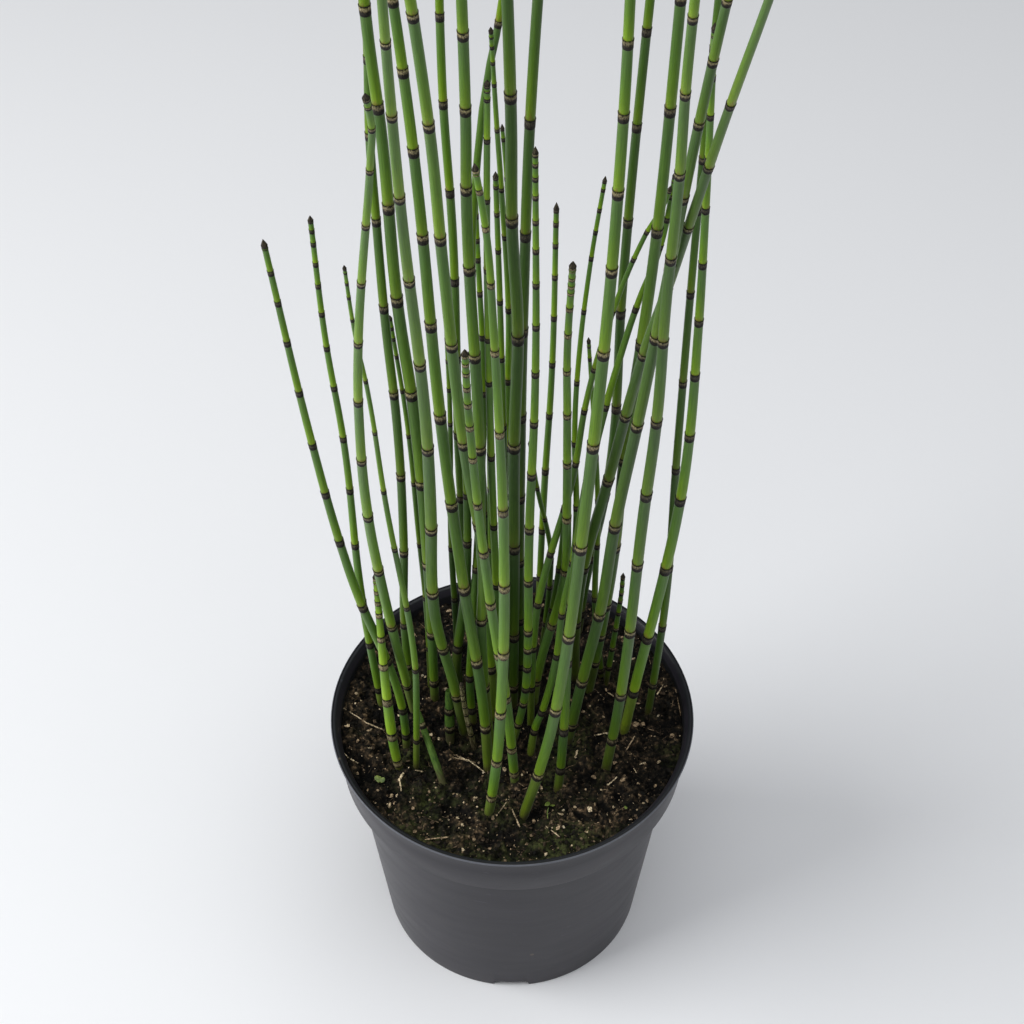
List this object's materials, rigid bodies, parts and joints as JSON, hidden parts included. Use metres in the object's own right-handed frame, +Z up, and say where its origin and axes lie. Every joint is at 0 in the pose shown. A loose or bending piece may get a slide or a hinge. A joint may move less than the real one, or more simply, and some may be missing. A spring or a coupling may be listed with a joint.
{
  "type": "potted horsetail plant",
  "caption": "Clump of tall jointed green horsetail stems, upright and leaning, growing from dark soil in a round tapered nursery pot.",
  "frame": {"origin": "centre of the pot's foot, on the ground", "axes": "+Z up along the pot's axis, -Y towards the side that the picture shows, +X to its right"},
  "size_m": [0.1977, 0.3072, 0.76],
  "materials": {
    "pot_plastic": "charcoal moulded plastic, satin, scuffed",
    "potting_soil": "moist dark peat and bark mix, rough",
    "green_stem": "fresh green ribbed stem with dark banded joints, satin",
    "pale_green_shoot": "young yellow-green stem with dark banded joints, satin",
    "dried_stem": "dry brown and cream stem base, dull"
  },
  "bodies": {
    "root": {"pot": "pot_plastic", "soil": "potting_soil", "tall_stem_01": "green_stem", "tall_stem_02": "green_stem", "tall_stem_03": "green_stem", "tall_stem_04": "green_stem", "tall_stem_05": "green_stem", "tall_stem_06": "green_stem", "tall_stem_07": "green_stem", "tall_stem_08": "green_stem", "tall_stem_09": "green_stem", "tall_stem_10": "green_stem", "tall_stem_11": "green_stem", "tall_stem_12": "green_stem", "tall_stem_13": "green_stem", "tall_stem_14": "green_stem", "tall_stem_15": "green_stem", "tall_stem_16": "green_stem", "tall_stem_17": "green_stem", "tipped_stem_01": "green_stem", "tipped_stem_02": "green_stem", "tipped_stem_03": "green_stem", "tipped_stem_04": "green_stem", "tipped_stem_05": "green_stem", "tipped_stem_06": "green_stem", "tipped_stem_07": "green_stem", "tipped_stem_08": "green_stem", "tipped_stem_09": "green_stem", "tipped_stem_10": "green_stem", "tipped_stem_11": "green_stem", "tipped_stem_12": "green_stem", "tipped_stem_13": "green_stem", "tipped_stem_14": "green_stem", "tipped_stem_15": "green_stem", "tipped_stem_16": "green_stem", "tipped_stem_17": "green_stem", "tipped_stem_18": "green_stem", "tipped_stem_19": "green_stem", "tipped_stem_20": "green_stem", "inner_stem_01": "green_stem", "inner_stem_02": "green_stem", "inner_stem_03": "green_stem", "inner_stem_04": "green_stem", "inner_stem_05": "green_stem", "pale_shoot": "pale_green_shoot", "small_shoot": "green_stem", "dried_shoot": "dried_stem", "leaning_stub": "dried_stem", "swollen_stub": "dried_stem"}
  },
  "joints": []
}
